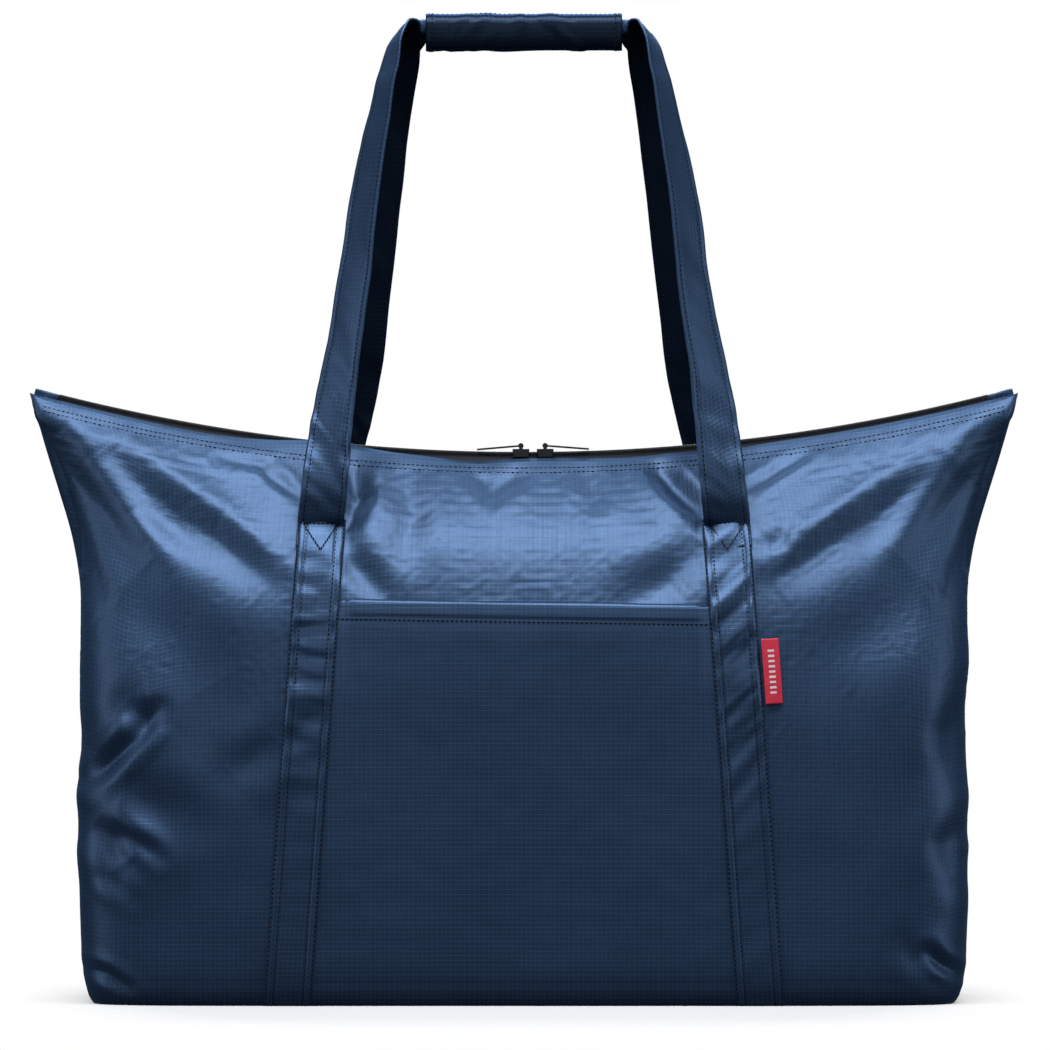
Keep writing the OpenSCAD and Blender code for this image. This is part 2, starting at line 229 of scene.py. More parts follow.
def fold(sheet, stations, width, depth, slack=1.0, lip=0.4):
    """Depth of one fold: a trough along the stations (x, z) with a lip beside it. Above 1, slack
    widens the trough's lower side, so the cloth breaks sharply on the upper side only."""
    x, z = sheet[:, :, 0], sheet[:, :, 2]
    stations = np.array(stations, float) * mm
    nearest = np.full(x.shape, 1e9)
    share = np.zeros(x.shape)
    above = np.zeros(x.shape)
    lengths = np.linalg.norm(np.diff(stations, axis=0), axis=1)
    before = np.r_[0, np.cumsum(lengths)]
    for k, length in enumerate(lengths):
        start, run = stations[k], stations[k + 1] - stations[k]
        s = np.clip(((x - start[0]) * run[0] + (z - start[1]) * run[1]) / length ** 2, 0, 1)
        up = z - start[1] - s * run[1]
        gap = np.hypot(x - start[0] - s * run[0], up)
        closer = gap < nearest
        nearest = np.where(closer, gap, nearest)
        above = np.where(closer, up, above)
        share = np.where(closer, (before[k] + s * length) / before[-1], share)
    width, depth = width * mm, depth * mm
    above = 0.5 + 0.5 * np.clip(above / np.maximum(nearest, 1e-9), -1, 1)
    fade = np.sin(np.pi * np.clip(share * 0.84 + 0.08, 0, 1)) ** 0.8
    trough = np.exp(-(nearest / (width * (slack + (1 - slack) * above))) ** 2)
    lips = np.exp(-((nearest - 1.9 * width) / width) ** 2) * (1 + (above - 1) * min(1, slack - 1))
    return depth * fade * (lip * lips - trough)


def ripple(sheet, size, seed, stretch=(1, 1, 1)):
    """Smooth noise over a grid of points, about -1 to 1, from features of the given size."""
    flat = sheet.reshape(-1, 3) / (size * mm) * np.array(stretch)
    shift = Vector((seed * 7.3, seed * 3.1, seed * 1.7))
    return np.array([noise.noise(Vector(p) + shift) for p in flat]).reshape(sheet.shape[:2])


# stations (x, z), width, depth, slack, lip: long pulls from the wing tips, then dents and tucks
front_folds = [
    ([(-316, 366), (-300, 342), (-273, 309), (-252, 282)], 11, 9.0, 3.2, 0.6),
    ([(-272, 350), (-240, 329), (-206, 306), (-166, 272)], 9, 6.0, 2.6, 0.6),
    ([(-262, 330), (-232, 312), (-214, 296)], 10, 2.0),
    ([(-304, 322), (-294, 300), (-282, 276), (-276, 256)], 7, 2.6, 1.5, 0.1),
    ([(-262, 268), (-230, 244), (-206, 206)], 26, 4.6),
    ([(-258, 196), (-246, 186), (-238, 192)], 8, 3.2),
    ([(-284, 146), (-266, 160), (-250, 174), (-240, 190)], 6, 4.2),
    ([(-286, 172), (-276, 156), (-274, 142)], 12, 3.0),
    ([(-280, 118), (-268, 106), (-260, 92)], 10, 5.0),
    ([(-262, 112), (-246, 104), (-236, 96)], 5, 2.6),
    ([(-260, 136), (-238, 128), (-218, 118)], 14, 2.4),
    ([(-275, 85), (-264, 78), (-254, 69)], 5, 1.5),
    ([(-283, 24), (-270, 20), (-256, 10)], 4, 2.6),
    ([(-189, 150), (-176, 158), (-160, 172)], 11, 2.0),
    ([(-176, 352), (-160, 340), (-148, 330)], 4, 1.8),
    ([(-200, 356), (-180, 352), (-160, 352)], 4, 1.4),
    ([(316, 368), (300, 344), (274, 312), (252, 286)], 11, 8.5, 3.2, 0.6),
    ([(274, 344), (240, 325), (206, 302), (164, 274)], 9, 5.8, 2.6, 0.6),
    ([(262, 330), (236, 308), (222, 292)], 10, 1.8),
    ([(306, 320), (294, 298), (282, 276), (276, 256)], 7, 2.6, 1.5, 0.1),
    ([(262, 268), (230, 250), (196, 224)], 26, 4.2),
    ([(170, 308), (166, 300), (158, 296)], 6, 2.4),
    ([(290, 200), (280, 176), (282, 150)], 12, 4.0),
    ([(287, 120), (276, 104), (280, 84)], 10, 3.0),
    ([(262, 36), (270, 28), (282, 20)], 4, 3.6),
    ([(246, 42), (254, 32), (268, 26)], 8, 1.8),
    ([(148, 336), (164, 346), (184, 358)], 4, 1.8),
    ([(-34, 350), (-20, 334), (-2, 348)], 7, 2.2),
    ([(84, 354), (97, 338), (116, 318)], 7, 5.6),
    ([(116, 300), (94, 276), (66, 262)], 12, 4.0),
    ([(-120, 304), (-108, 284), (-90, 264)], 9, 3.6),
    ([(-112, 350), (-108, 330), (-116, 306)], 7, 4.0),
    ([(-78, 342), (-72, 318), (-80, 290)], 9, 2.6),
    ([(42, 346), (46, 330), (40, 318)], 8, 1.4),
]
back_folds = [([(-x, z) for x, z in stations], width * 1.1, height * 0.85, *rest)
              for stations, width, height, *rest in front_folds[:24]] + [
    ([(-60, 340), (-40, 318), (-52, 286)], 12, -2.6),
    ([(60, 346), (84, 310), (70, 270)], 13, -2.4),
    ([(10, 250), (0, 200), (24, 150)], 24, -3.0),
    ([(-90, 210), (-60, 160), (-80, 110)], 20, -2.6)]
# place along the hem, reach, height: where the hem stands over the zip or sags below it
front_waves = [(-128, 34, 4.6), (-34, 22, -2.6), (132, 20, -1.6), (66, 30, -1.2), (-214, 40, -1.0)]
back_waves = [(-84, 34, 4.4), (-158, 16, 3.0), (146, 22, 3.2), (40, 40, 0.8)]


def cloth_wall(piece, thick):
    wall = piece.modifiers.new("wall", "SOLIDIFY")
    wall.thickness = thick * mm
    wall.offset = -1


def cloth_mesh(name, sheet, thick=0.45, turned=False):
    """A mesh from a grid of points, with its weave laid out in metres, and walls of its own."""
    rows, columns = sheet.shape[0] - 1, sheet.shape[1] - 1
    bm = bmesh.new()
    bmesh.ops.create_grid(bm, x_segments=columns, y_segments=rows, size=0.5)
    mesh = bpy.data.meshes.new(name)
    bm.to_mesh(mesh)
    bm.free()
    flat = np.zeros(len(mesh.vertices) * 3)
    mesh.vertices.foreach_get("co", flat)
    flat = flat.reshape(-1, 3)
    column = np.rint((flat[:, 0] + 0.5) * columns).astype(int)
    row = np.rint((flat[:, 1] + 0.5) * rows).astype(int)
    mesh.vertices.foreach_set("co", sheet[row, column].ravel())
    across = np.cumsum(np.linalg.norm(np.diff(sheet, axis=1, prepend=sheet[:, :1]), axis=2), axis=1)
    across -= across[:, columns // 2][:, None]
    up = np.cumsum(np.linalg.norm(np.diff(sheet, axis=0, prepend=sheet[:1]), axis=2), axis=0)
    corner = np.zeros(len(mesh.loops), int)
    mesh.loops.foreach_get("vertex_index", corner)
    weave = np.stack([across[row, column], up[row, column]], axis=1)[corner]
    mesh.uv_layers.new(name="weave").data.foreach_set("uv", weave.ravel())
    mesh.polygons.foreach_set("use_smooth", np.ones(len(mesh.polygons), bool))
    if turned:
        mesh.flip_normals()
    piece = placed(name, mesh)
    if thick:
        cloth_wall(piece, thick)
    return piece


def sums_in(material):
    """A short way to write a sum in a material's nodes."""
    nodes, links = material.node_tree.nodes, material.node_tree.links

    def math_node(operation, *values):
        node = nodes.new("ShaderNodeMath")
        node.operation = operation
        for k, value in enumerate(values):
            if isinstance(value, (int, float)):
                node.inputs[k].default_value = value
            else:
                links.new(value, node.inputs[k])
        return node.outputs[0]

    return math_node


def ripstop(name, colour, shine=0.43, coat=0.30):
    """Coated ripstop: satin navy cloth with a raised thread about every 3 mm each way, with painted shade
    darkening it over its lowest 13 mm.
    """
    material = bpy.data.materials.new(name)
    material.use_nodes = True
    nodes, links = material.node_tree.nodes, material.node_tree.links
    shader = nodes["Principled BSDF"]
    shader.inputs["Metallic"].default_value = 0.66
    shader.inputs["Specular IOR Level"].default_value = 0.0
    shader.inputs["Specular Tint"].default_value = (0.35, 0.58, 0.95, 1)
    shader.inputs["Coat Weight"].default_value = coat
    shader.inputs["Coat Roughness"].default_value = 0.42
    shader.inputs["Sheen Weight"].default_value = 0.03
    shader.inputs["Sheen Roughness"].default_value = 0.4
    shader.inputs["Sheen Tint"].default_value = (0.35, 0.55, 1.0, 1)
    place = nodes.new("ShaderNodeTexCoord")
    split = nodes.new("ShaderNodeSeparateXYZ")
    links.new(place.outputs["UV"], split.inputs[0])

    math_node = sums_in(material)

    def thread(coordinate, pitch, width):
        cell = math_node("FRACT", math_node("DIVIDE", coordinate, pitch))
        off = math_node("ABSOLUTE", math_node("SUBTRACT", cell, 0.5))
        return math_node("MAXIMUM", math_node("SUBTRACT", 1, math_node("DIVIDE", off, width)), 0)

    def cloud(vector, scale, detail, squash=(1, 1, 1)):
        stretch = nodes.new("ShaderNodeVectorMath")
        stretch.operation = "MULTIPLY"
        stretch.inputs[1].default_value = squash
        noise_node = nodes.new("ShaderNodeTexNoise")
        noise_node.inputs["Scale"].default_value = scale
        noise_node.inputs["Detail"].default_value = detail
        links.new(vector, stretch.inputs[0])
        links.new(stretch.outputs[0], noise_node.inputs["Vector"])
        return noise_node.outputs["Fac"]

    pitch = 3.05 * mm
    grid = math_node("MAXIMUM", *(thread(split.outputs[k], pitch, 0.13) for k in (0, 1)))
    warp = cloud(place.outputs["UV"], 700, 2.5, (1, 0.03, 1))
    weft = cloud(place.outputs["UV"], 700, 2.5, (0.03, 1, 1))
    slub = math_node("SUBTRACT", math_node("ADD", warp, weft), 1)
    dyed = cloud(place.outputs["Object"], 9, 3)
    tone = math_node("ADD", math_node("MULTIPLY", dyed, 0.5), math_node("MULTIPLY", grid, 0.85))
    tone = math_node("ADD", tone, math_node("MULTIPLY", slub, 0.55))
    shade = nodes.new("ShaderNodeMix")
    shade.data_type = "RGBA"
    shade.inputs["A"].default_value = (*(c * 0.50 for c in colour), 1)
    shade.inputs["B"].default_value = (*(c * 1.42 for c in colour), 1)
    # Painted shade: the colour darkens over the lowest 13 mm of height, standing in for the shadow where
    # the cloth meets the floor.
    height = nodes.new("ShaderNodeSeparateXYZ")
    links.new(place.outputs["Object"], height.inputs[0])
    foot_shade = math_node("SUBTRACT", 1, math_node("DIVIDE", height.outputs[2], 13 * mm))
    foot_shade = math_node("MAXIMUM", foot_shade, 0)
    tone = math_node("SUBTRACT", math_node("MULTIPLY", tone, 0.674), math_node("MULTIPLY", foot_shade, 0.5))
    links.new(math_node("ADD", tone, 0.407), shade.inputs["Factor"])
    links.new(shade.outputs["Result"], shader.inputs["Base Color"])
    rough = math_node("SUBTRACT", shine, math_node("MULTIPLY", slub, 0.07))
    links.new(math_node("ADD", rough, math_node("MULTIPLY", grid, 0.06)), shader.inputs["Roughness"])
    bump = nodes.new("ShaderNodeBump")
    bump.inputs["Strength"].default_value = 0.5
    bump.inputs["Distance"].default_value = 0.11 * mm
    links.new(math_node("ADD", math_node("MULTIPLY", grid, 0.80), math_node("MULTIPLY", slub, 0.55)),
              bump.inputs["Height"])
    links.new(bump.outputs[0], shader.inputs["Normal"])
    return material


navy = (0.026, 0.056, 0.118)
shell_cloth = ripstop("ripstop_shell", navy)
shell_columns, shell_rows_up = 264, 164
smooth_skin = lofted_skin(shell_columns, shell_rows_up)


def fold_panel(folds, waves, seed, pocketed):
    """The panel's skin with its folds pressed in, held still at the hem, seams and base."""
    skin = smooth_skin.copy()
    face = outward(skin)
    x, z = skin[:, :, 0], skin[:, :, 2]
    row = np.linspace(0, 1, shell_rows_up + 1)[:, None]
    press = sum(fold(skin, *one) for one in folds)
    press = press + 0.8 * mm * ripple(skin, 60, seed)
    press = press + 0.35 * mm * ripple(skin, 22, seed + 1, (1, 1, 0.6))
    near_hem = np.exp(-((1 - row) / 0.035) ** 2) * np.clip((1 - row) / 0.012, 0, 1)
    press = press + near_hem * 0.9 * mm * ripple(skin, 8, seed + 2, (1, 0.2, 0.3))
    seam_room = np.where(row < 0.72, 34 * mm, 9 * mm)
    hold = np.clip(row / 0.03, 0, 1) * np.clip((1 - row) / 0.035, 0.12, 1)
    hold = hold * np.clip(np.abs(skin[:, :, 1]) / seam_room, 0, 1)
    if pocketed:
        under_hem = np.clip((262 * mm - z) / (22 * mm), 0, 1)
        between_bands = np.clip((150 * mm - np.abs(x)) / (18 * mm), 0, 1)
        press = press * (1 - under_hem * between_bands)
    skin = skin + face * (press * hold)[:, :, None]
    top = np.clip((row - 0.93) / 0.07, 0, 1) ** 1.5
    for place, reach, height in waves:
        swell = np.exp(-((x - place * mm) / (reach * mm)) ** 2) * top * height * mm
        skin[:, :, 2] += swell
        skin[:, :, 1] -= np.maximum(swell, 0) * 0.5 * np.sin(np.pi * np.clip((row - 0.93) / 0.07, 0, 1))
    return skin


def band_middle(z):
    """How far from the middle of the bag a band's centre line runs at height z."""
    return (153 - 22 * np.asarray(z) / (318 * mm)) * mm


def settle(piece, pins, frames=16, most=5.0):
    """Lets the cloth sag and pucker between its seams, with no point moving more than `most`."""
    before = np.zeros(len(piece.data.vertices) * 3)
    piece.data.vertices.foreach_get("co", before)
    held = piece.vertex_groups.new(name="held")
    for index, weight in pins:
        held.add([int(index)], float(weight), "REPLACE")
    cloth = piece.modifiers.new("cloth", "CLOTH")
    cloth.settings.quality = 5
    cloth.settings.mass = 0.12
    cloth.settings.tension_stiffness = 12
    cloth.settings.compression_stiffness = 12
    cloth.settings.shear_stiffness = 4
    cloth.settings.bending_stiffness = 0.06
    cloth.settings.tension_damping = 8
    cloth.settings.vertex_group_mass = "held"
    cloth.settings.shrink_min = -0.012
    cloth.settings.use_pressure = True
    cloth.settings.uniform_pressure_force = 0.15
    cloth.settings.effector_weights.gravity = 0.1
    cloth.point_cache.frame_start = 1
    cloth.point_cache.frame_end = frames
    for number in range(1, frames + 1):
        bpy.context.scene.frame_set(number)
    shaped = piece.evaluated_get(bpy.context.evaluated_depsgraph_get()).to_mesh()
    after = np.zeros(len(before))
    shaped.vertices.foreach_get("co", after)
    piece.modifiers.remove(cloth)
    bpy.context.scene.frame_set(1)
    move = (after - before).reshape(-1, 3)
    far = np.linalg.norm(move, axis=1, keepdims=True)
    move = move * np.minimum(1, most * mm / np.maximum(far, 1e-9))
    piece.data.vertices.foreach_set("co", (before.reshape(-1, 3) + move).ravel())
    piece.data.update()


def panel_skin(name, folds, waves, seed, pocketed):
    skin = fold_panel(folds, waves, seed, pocketed)
    piece = cloth_mesh(name, skin, thick=0)
    flat = np.zeros(len(piece.data.vertices) * 3)
    piece.data.vertices.foreach_get("co", flat)
    flat = flat.reshape(-1, 3)
    share = flat[:, 2] / (zip_height(flat[:, 0]) - edge_drop)
    near_edge = np.maximum(np.clip(1 - share / 0.02, 0, 1), np.clip((share - 0.965) / 0.02, 0, 1))
    near_seam = np.clip(1 - np.abs(flat[:, 1]) / (8 * mm), 0, 1)
    off_band = np.abs(np.abs(flat[:, 0]) - band_middle(flat[:, 2]))
    near_band = np.clip(1 - off_band / (16 * mm), 0, 1) ** 0.5
    near_band = near_band * (flat[:, 2] < 316 * mm)
    calm = np.clip(0.9 - share, 0.30, 0.6)
    if pocketed:
        behind = (flat[:, 2] < 258 * mm) & (np.abs(flat[:, 0]) < 150 * mm)
        calm = np.where(behind, 1, calm)
    weight = np.maximum.reduce([near_edge, near_seam, near_band, calm])
    settle(piece, [(i, w) for i, w in enumerate(weight) if w > 0.01])
    return piece


front_panel = panel_skin("front_panel_cloth", front_folds, front_waves, 3, True)
back_panel = panel_skin("back_panel_cloth", back_folds, [(-x, w, h) for x, w, h in back_waves], 11, False)
back_panel.data.transform(Matrix.Diagonal((-1, -1, 1, 1)))
for panel, node in ((front_panel, "front_panel"), (back_panel, "back_panel")):
    panel.data.materials.append(shell_cloth)
    cloth_wall(panel, 0.45)
    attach(panel, "bag")
    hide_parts(node)


def hold_of(piece):
    """A quick finder of the places on a piece's cloth."""
    bm = bmesh.new()
    bm.from_mesh(piece.data)
    tree = BVHTree.FromBMesh(bm)
    bm.free()
    return tree


front_tree, back_tree = hold_of(front_panel), hold_of(back_panel)


def on_panel(x, z, lift=0.0, back=False):
    """The place on the front or back panel above x at height z, lifted off it by lift."""
    side = 1 if back else -1
    tree = back_tree if back else front_tree
    hit = tree.ray_cast(Vector((x, side, z)), Vector((0, -side, 0)))[0]
    y = hit.y if hit is not None else -side * float(skin_y(x, z))
    return np.array([x, y + side * lift, z])


# --- Sewing thread ---
# Every seam is lockstitched with dark navy polyester thread, about 3 mm a stitch. Each
# stitch is a small flattened bead that beds into the cloth.


def finish_of(name, colour, **values):
    """A plain finish of one colour. Each value is a shader socket's, its name in small letters."""
    material = bpy.data.materials.new(name)
    material.use_nodes = True
    shader = material.node_tree.nodes["Principled BSDF"]
    shader.inputs["Base Color"].default_value = (*colour, 1)
    for socket, value in values.items():
        shader.inputs[socket.replace("_", " ").title()].default_value = value
    return material


def textured(material, kind, scale, pattern, direction=None):
    """A texture on the piece's own coordinates: the socket that its value comes from."""
    nodes, links = material.node_tree.nodes, material.node_tree.links
    texture = nodes.new(kind)
    texture.inputs["Scale"].default_value = scale
    if direction:
        texture.bands_direction = direction
    links.new(nodes.new("ShaderNodeTexCoord").outputs[pattern], texture.inputs["Vector"])
    return texture.outputs["Fac"]


def ribbed(material, height, deep):
    """Raises the surface by a texture, deep millimetres at most."""
    nodes, links = material.node_tree.nodes, material.node_tree.links
    bump = nodes.new("ShaderNodeBump")
    bump.inputs["Distance"].default_value = deep * mm
    links.new(height, bump.inputs["Height"])
    links.new(bump.outputs[0], nodes["Principled BSDF"].inputs["Normal"])


def worn(material, scale, low, high):
    """Lets the roughness wander between low and high."""
    nodes, links = material.node_tree.nodes, material.node_tree.links
    spread = nodes.new("ShaderNodeMapRange")
    spread.inputs["To Min"].default_value = low
    spread.inputs["To Max"].default_value = high
    links.new(textured(material, "ShaderNodeTexNoise", scale, "Object"), spread.inputs["Value"])
    links.new(spread.outputs["Result"], nodes["Principled BSDF"].inputs["Roughness"])


thread_paint = finish_of("sewing_thread", (0.0015, 0.0025, 0.006), roughness=0.6)
thread_paint.node_tree.nodes["Principled BSDF"].inputs["Specular IOR Level"].default_value = 0.15
ribbed(thread_paint, textured(thread_paint, "ShaderNodeTexWave", 900, "Object", "DIAGONAL"), 0.05)


def strewn(name, source, places):
    """One mesh of many copies of a small shape, one at each place."""
    bm = bmesh.new()
    for _ in places:
        bm.from_mesh(source)
    mesh = bpy.data.meshes.new(name)
    bm.to_mesh(mesh)
    bm.free()
    shape = np.array([vertex.co for vertex in source.vertices])
    turns = np.array([place.to_3x3() for place in places])
    moves = np.array([place.translation for place in places])
    spots = np.einsum("kij,nj->kni", turns, shape) + moves[:, None]
    mesh.vertices.foreach_set("co", spots.ravel())
    mesh.polygons.foreach_set("use_smooth", np.ones(len(mesh.polygons), bool))
    mesh.update()
    return placed(name, mesh)


def bead(length, width, height):
    bm = bmesh.new()
    bmesh.ops.create_uvsphere(bm, u_segments=6, v_segments=4, radius=0.5)
    bmesh.ops.scale(bm, vec=(width * mm, height * mm, length * mm), verts=bm.verts)
    mesh = bpy.data.meshes.new("bead")
    bm.to_mesh(mesh)
    bm.free()
    return mesh


stitch = bead(2.4, 1.05, 0.6)


def seam_places(points, faces, pitch=3.1):
    """Where the stitches of one seam sit: along the points, flat on the cloth."""
    points, faces = np.array(points), np.array(faces)
    length = np.linalg.norm(np.diff(points, axis=0), axis=1).sum()
    count = max(2, int(length / (pitch * mm)))
    run = along(np.hstack([points, faces]), count + 1)
    places = []
    for k in range(count):
        middle = Vector((run[k, :3] + run[k + 1, :3]) / 2)
        forward = Vector(run[k + 1, :3] - run[k, :3]).normalized()
        up = Vector(run[k, 3:]).normalized()
        side = up.cross(forward).normalized()
        turn = Matrix((side, forward.cross(side), forward)).transposed().to_4x4()
        places.append(Matrix.Translation(middle) @ turn)
    return places


def sewn_on_panel(line, lift, back=False, pitch=3.1):
    """Stitch places along a line of (x, z) on a panel, with the cloth's facing."""
    points = [on_panel(x, z, lift, back) for x, z in line]
    return seam_places(points, [(0, 1 if back else -1, 0)] * len(points), pitch)


def finish_seam(name, places, body="bag"):
    piece = strewn(name, stitch, places)
    piece.data.materials.append(thread_paint)
    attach(piece, body)


hem_places = []
for back in (False, True):
    for drop in (6.5, 9.5):
        xs = np.linspace(-wing + 9 * mm, wing - 9 * mm, 160)
        line = [(x, float(zip_height(x)) - edge_drop - drop * mm) for x in xs]
        hem_places += sewn_on_panel(line, 0.05 * mm, back)
finish_seam("zip_hem_stitches", hem_places)

# --- Front pocket ---
# A patch of the same ripstop between the two front bands. Its top is folded twice and
# stitched into a hem; its sides are caught under the bands and its foot in the base seam.
pocket_top = box_of("front_pocket")[1].z


def pocket_skin(columns, rows):
    sheet = np.zeros((rows + 1, columns + 1, 3))
    s = np.linspace(-1, 1, columns + 1)
    for i, v in enumerate(np.linspace(0, 1, rows + 1)):
        top = pocket_top + 1.5 * mm - 2.2 * mm * s
        z = 1 * mm + (top - 1 * mm) * v
        x = s * (band_middle(z) - 4 * mm)
        share = v ** 4
        gap = (0.9 + 6.2 * share * (1 - np.minimum(np.abs(s) / 0.86, 1) ** 5)) * mm
        hem = np.clip((v - 0.958) / 0.006, 0, 1) * 0.7 * mm * np.clip((0.9 - np.abs(s)) / 0.06, 0, 1)
        roll = -1.6 * mm * np.clip((v - 0.992) / 0.008, 0, 1) ** 2
        sheet[i] = np.stack([x, skin_y(x, z) - gap - hem - roll, z], axis=1)
    return sheet


pocket_sheet = pocket_skin(150, 240)
pocket_face = outward(pocket_sheet)
pocket_sheet += pocket_face * (0.55 * mm * ripple(pocket_sheet, 60, 21)
                               + 0.16 * mm * ripple(pocket_sheet, 16, 22))[:, :, None]
pocket = cloth_mesh("front_pocket_cloth", pocket_sheet, thick=0.45)
pocket_cloth = ripstop("ripstop_pocket", navy, shine=0.42)
pocket.data.materials.append(pocket_cloth)
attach(pocket, "bag")
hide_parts("front_pocket")

hem_row = 228
hem_line = pocket_sheet[hem_row] - np.array([0, 0.35 * mm, 0])
finish_seam("pocket_hem_stitches", seam_places(hem_line, pocket_face[hem_row]))

# --- Bands ---
# Four strips of folded ripstop run from the strap ends down to the base seam. Both edges
# are turned in and stitched, so each has a narrow rib, and the strip puckers between.
band_half = 15.5 * mm
band_head = 315 * mm
band_cloth = ripstop("ripstop_band", navy, shine=0.37)


def band_skin(side, back, seed):
    rows, columns = 230, 32
    sheet = np.zeros((rows + 1, columns + 1, 3))
    across = np.linspace(-1, 1, columns + 1)
    for i, z in enumerate(np.linspace(0.5 * mm, band_head, rows + 1)):
        middle = side * float(band_middle(z))
        for j, s in enumerate(across):
            sheet[i, j] = on_panel(middle + s * band_half, z, 0, back)
    level = sheet[:, :, 1].copy()
    kernel = np.ones(9) / 9
    for j in range(columns + 1):
        padded = np.pad(level[:, j], 4, mode="edge")
        level[:, j] = np.convolve(padded, kernel, mode="valid")
    outside = 1 if back else -1
    edge = np.abs(across) * band_half
    rib = np.exp(-((band_half - 3.0 * mm - edge) / (1.5 * mm)) ** 2) * 0.6 * mm
    groove = np.exp(-((band_half - 5.6 * mm - edge) / (0.8 * mm)) ** 2) * 0.9 * mm
    rim = np.clip((edge - band_half + 1.2 * mm) / (1.2 * mm), 0, 1) ** 2 * 0.9 * mm
    z = sheet[:, :, 2]
    slack = np.exp(-((z - 235 * mm) / (70 * mm)) ** 2)
    slant = sheet.copy()
    slant[:, :, 2] += (across * band_half)[None, :] * (0.1 if side < 0 else -0.8)
    pucker = ripple(slant, 13, seed, (0.4, 0.2, 1.0)) * (0.3 + 3.2 * slack) * mm
    pucker += ripple(slant, 6, seed + 5, (0.5, 0.2, 1.0)) * 0.55 * slack * mm
    pucker *= np.clip((band_half - edge) / (4 * mm), 0.15, 1)[None, :]
    over_strap = np.clip((z - 286 * mm) / (16 * mm), 0, 1) * 0.8 * mm
    lift = 2.5 * mm + rib - groove - rim + pucker + over_strap
    sheet[:, :, 1] = level + outside * np.maximum(lift, 1.7 * mm)
    return sheet


band_places = []
for name, side, back, seed in (("front_left", -1, False, 31), ("front_right", 1, False, 37),
                               ("back_left", -1, True, 41), ("back_right", 1, True, 47)):
    sheet = band_skin(side, back, seed)
    band = cloth_mesh(f"{name}_band_cloth", sheet, thick=0.7, turned=back)
    band.data.materials.append(band_cloth)
    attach(band, "bag")
    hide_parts(f"{name}_band")
    facing = [(0, 1 if back else -1, 0)] * sheet.shape[0]
    for column in (1, 6, 26, 31):
        band_places += seam_places(sheet[:, column], facing)
finish_seam("band_stitches", band_places)

# --- Handle straps ---
# Each handle is one continuous strap: ripstop folded to 30 mm, stitched down both edges,
# tucked under the heads of its two bands. The front strap turns over the top of the
# bundle with its outer face up; the back strap enters the grip on edge.
strap_width = 30 * mm
strap_cloth = ripstop("ripstop_strap", navy, shine=0.36)
# Painted shade: the straps' inner faces get the strap ripstop at about a fifth of its colour, a shaded
# copy of the same cloth.
strap_shaded_side = ripstop("ripstop_strap_painted_shade", tuple(c * 0.22 for c in navy), shine=0.55, coat=0.05)
grip_low, grip_high = box_of("wrap_flap")
grip_z = (grip_low.z + grip_high.z) / 2


def sewn_station(x, z, back):
    """A strap station that lies flat on the panel."""
    side = 1 if back else -1
    middle = on_panel(x * mm, z * mm, 0, back)
    left = on_panel(x * mm - strap_width / 2, z * mm, 0, back)
    right = on_panel(x * mm + strap_width / 2, z * mm, 0, back)
    middle[1] = (left[1] + right[1]) / 2 + side * 2.0 * mm
    return (middle, right - left, 30)


def station(x, y, z, wide, width=30):
    return (np.array([x, y, z]) * mm, np.array(wide, float), width)


# stations from the sewn end to the grip: place, direction across the strap, width
front_leg = [sewn_station(-133.2 + (z - 300) * 0.06, z, False) for z in (296, 303, 310)] + [
    station(-131.8, -62.5, 318, (1, -0.04, 0)), station(-130.2, -65, 331, (1, -0.08, 0)),
    station(-128.5, -63, 348, (1, -0.16, 0)), station(-126, -56, 372, (0.95, -0.34, 0)),
    station(-121, -47, 408, (0.82, -0.57, 0)),
    station(-112.5, -38, 460, (0.70, -0.71, 0)), station(-104.5, -28, 526, (0.62, -0.78, 0)),
    station(-93, -19, 591, (0.42, -0.90, 0)), station(-88, -15, 612, (0.36, -0.93, 0)),
    station(-84.5, -10, 629, (0.26, -0.95, 0.1)), station(-77, -3.5, 640.5, (0.1, -0.98, 0.1)),
    station(-67, -0.5, 643, (0, -1, 0)), station(-40, 0, 642.8, (0, -1, 0))]
back_leg = [sewn_station(-133.2 + (z - 300) * 0.06, z, True) for z in (296, 303, 310)] + [
    station(-131, 61.5, 319, (1, 0.03, 0)), station(-128, 58.5, 334, (1, 0.05, 0)),
    station(-123, 55.5, 355, (1, 0.1, 0)), station(-110, 47, 408, (0.95, 0.3, 0)),
    station(-103, 38, 460, (0.93, 0.37, 0)), station(-95, 28, 526, (0.92, 0.4, 0), 29),
    station(-87, 18, 585, (0.93, 0.36, 0), 27), station(-82.5, 12, 609, (0.95, 0.2, -0.2), 25),
    station(-77.5, 6, 625, (0.72, 0, -0.66), 21), station(-71, 1.6, 632, (0.2, 0, -1), 16),
    station(-64, 0.5, 635, (0, 0, -1), 13), station(-40, 0, 635, (0, 0, -1), 12.4)]


def mirrored(leg):
    flip = np.array([-1, 1, 1])
    return [(place * flip, wide * flip, width) for place, wide, width in reversed(leg)]


def curve_through(values, wanted):
    """A smooth line through the values, by Catmull-Rom pieces, at equal steps along it."""
    values = np.array(values, float)
    padded = np.vstack([2 * values[0] - values[1], values, 2 * values[-1] - values[-2]])
    dense = []
    for k in range(len(values) - 1):
        p0, p1, p2, p3 = padded[k:k + 4]
        for t in np.linspace(0, 1, 24, endpoint=False):
            dense.append(0.5 * ((2 * p1) + (p2 - p0) * t + (2 * p0 - 5 * p1 + 4 * p2 - p3) * t ** 2
                                + (3 * p1 - p0 - 3 * p2 + p3) * t ** 3))
    dense.append(values[-1])
    return along(np.array(dense), wanted)


